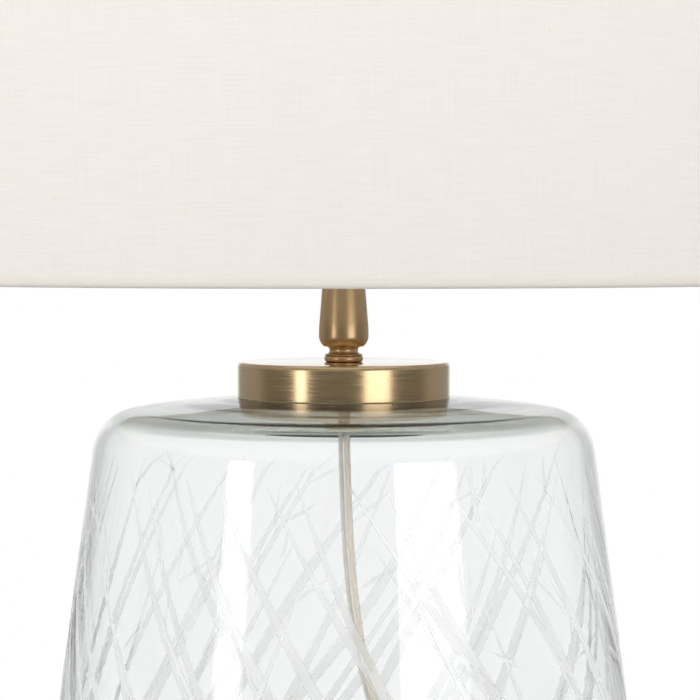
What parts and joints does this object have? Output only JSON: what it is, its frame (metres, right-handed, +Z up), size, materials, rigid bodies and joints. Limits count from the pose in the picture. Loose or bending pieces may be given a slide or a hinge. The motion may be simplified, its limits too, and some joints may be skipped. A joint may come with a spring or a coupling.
{
  "type": "table lamp",
  "caption": "Table lamp with a tapered clear glass vessel cut with satin strokes, a brass cap and turned neck, a linen drum shade and a clear flex with an inline switch.",
  "frame": {"origin": "on the table under the middle of the lamp, where its upright axis meets the table", "axes": "+Z up along the lamp's axis; the front seen in the picture faces -Y; the flex leaves at the back"},
  "size_m": [0.4, 0.4601, 0.577],
  "materials": {
    "clear_glass": "clear, with satin cut strokes",
    "brushed_brass": "brushed round, antique",
    "aged_brass": "turned, antique",
    "linen": "woven linen, slubbed",
    "shade_lining": "smooth white",
    "white_wire": "white enamel",
    "holder_plastic": "moulded",
    "holder_ceramic": "glazed",
    "plated_steel": "zinc plated",
    "contact_brass": "bright",
    "opal_glass": "opal",
    "lamp_metal": "rolled",
    "lamp_insulator": "black glass",
    "clear_flex": "clear sheath over two conductors",
    "clear_rubber": "clear, soft",
    "white_plastic": "moulded",
    "rocker_plastic": "moulded",
    "tie_plastic": "soft",
    "pin_metal": "nickel plated"
  },
  "bodies": {
    "base": {"brass_cap": "brushed_brass", "cap_seal": "clear_rubber", "cap_washer": "plated_steel", "centre_contact": "contact_brass", "coil_tie": "tie_plastic", "cord_grommet": "clear_rubber", "flex_coil": "clear_flex", "flex_end": "clear_flex", "flex_inner": "clear_flex", "flex_lead": "clear_flex", "flex_tail": "clear_flex", "foot_pads": "clear_rubber", "glass_base": "clear_glass", "holder_core": "holder_ceramic", "holder_cup": "holder_plastic", "holder_skirt": "holder_plastic", "holder_terminals": "contact_brass", "plug_body": "white_plastic", "plug_pins": "pin_metal", "screw_shell": "contact_brass", "seat_ring": "aged_brass", "switch_base": "white_plastic", "switch_cover": "white_plastic", "switch_pin": "plated_steel", "switch_screws": "plated_steel", "threaded_tube": "plated_steel", "tube_bush": "holder_plastic", "tube_nut": "plated_steel", "turned_neck": "aged_brass"},
    "shade": {"shade_fabric": "linen", "shade_lining": "shade_lining", "shade_low_ring": "white_wire", "shade_top_ring": "white_wire", "shade_arms": "white_wire", "shade_carrier": "white_wire"},
    "clamp": {"clamp_ring": "holder_plastic"},
    "lamp": {"lamp_envelope": "opal_glass", "lamp_cap": "lamp_metal", "lamp_insulator": "lamp_insulator", "lamp_contact": "contact_brass"},
    "rocker": {"switch_rocker": "rocker_plastic"}
  },
  "joints": [
    {"name": "shade_turn", "type": "hinge", "parent": "base", "child": "shade", "pos_m": [0, 0, 0.3547], "axis": [0, 0, 1], "continuous": true},
    {"name": "clamp_turn", "type": "hinge", "parent": "base", "child": "clamp", "pos_m": [0, 0, 0.3611], "axis": [0, 0, 1], "continuous": true},
    {"name": "lamp_turn", "type": "hinge", "parent": "base", "child": "lamp", "pos_m": [0, 0, 0.3753], "axis": [0, 0, 1], "continuous": true},
    {"name": "rocker_tilt", "type": "hinge", "parent": "base", "child": "rocker", "pos_m": [0.028, 0.2432, 0.0115], "axis": [0, -1, 0], "range_deg": [0, 14]}
  ]
}
